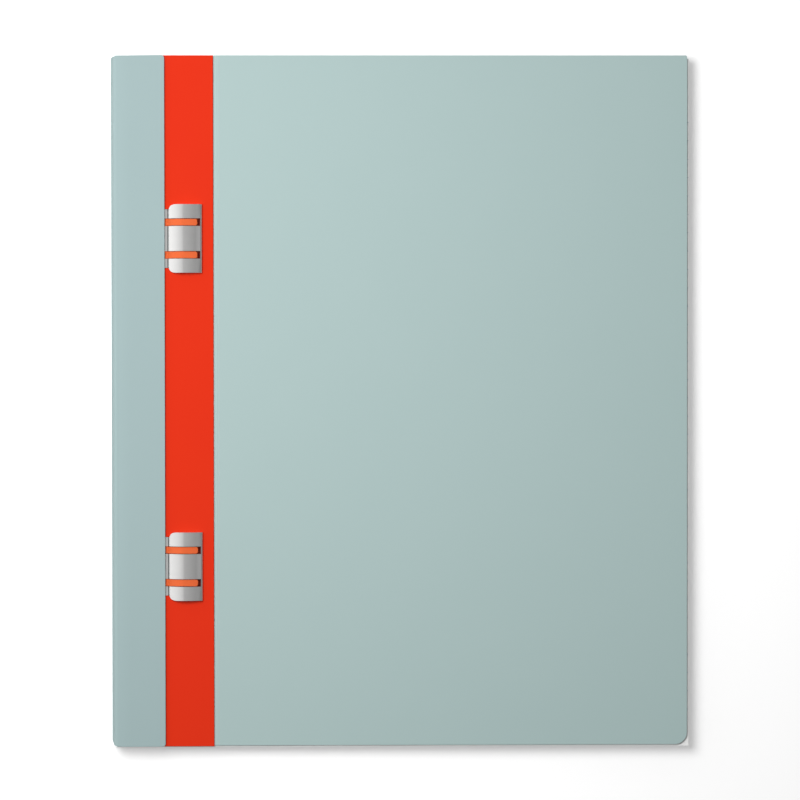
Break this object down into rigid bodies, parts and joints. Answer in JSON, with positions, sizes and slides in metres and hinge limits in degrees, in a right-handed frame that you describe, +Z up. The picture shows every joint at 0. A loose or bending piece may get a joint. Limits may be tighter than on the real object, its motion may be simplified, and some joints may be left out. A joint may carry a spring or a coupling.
{
  "type": "slide notebook",
  "caption": "Loose-page notebook with a folded plastic spine, a hinged front and back cover and arched metal clips that slide towards the spine to free the pages.",
  "frame": {"origin": "on the table, below the middle of the whole notebook, which lies on its back cover", "axes": "+X from the spine to the fore edge, +Y from the foot to the head of the page, +Z up out of the front cover"},
  "size_m": [0.2204, 0.2634, 0.0108],
  "materials": {
    "cover_sheet": "fine matte grain",
    "orange_plastic": "smooth satin",
    "light_orange_plastic": "smooth satin",
    "pages": "uncoated sheets",
    "steel": "satin",
    "satin_metal": "fine satin"
  },
  "bodies": {
    "binding": {"spine_wrap": "cover_sheet", "front_cover_flange": "cover_sheet", "binding_strip": "orange_plastic", "page_block": "pages", "upper_prong_fastener": "steel", "upper_clip_guide": "light_orange_plastic", "lower_prong_fastener": "steel", "lower_clip_guide": "light_orange_plastic"},
    "front_cover": {"front_cover_panel": "cover_sheet"},
    "back_cover": {"back_cover_panel": "cover_sheet"},
    "upper_clip": {"upper_slide_clip": "satin_metal"},
    "lower_clip": {"lower_slide_clip": "satin_metal"}
  },
  "joints": [
    {"name": "front_cover_hinge", "type": "hinge", "parent": "binding", "child": "front_cover", "pos_m": [-0.0693, 0, 0.008], "axis": [0, -1, 0], "range_deg": [0, 160]},
    {"name": "back_cover_hinge", "type": "hinge", "parent": "binding", "child": "back_cover", "pos_m": [-0.0693, 0, 0], "axis": [0, 1, 0], "range_deg": [0, 175]},
    {"name": "upper_clip_slide", "type": "slide", "parent": "binding", "child": "upper_clip", "axis": [-1, 0, 0], "range_m": [0, 0.001]},
    {"name": "lower_clip_slide", "type": "slide", "parent": "binding", "child": "lower_clip", "axis": [-1, 0, 0], "range_m": [0, 0.001]}
  ]
}
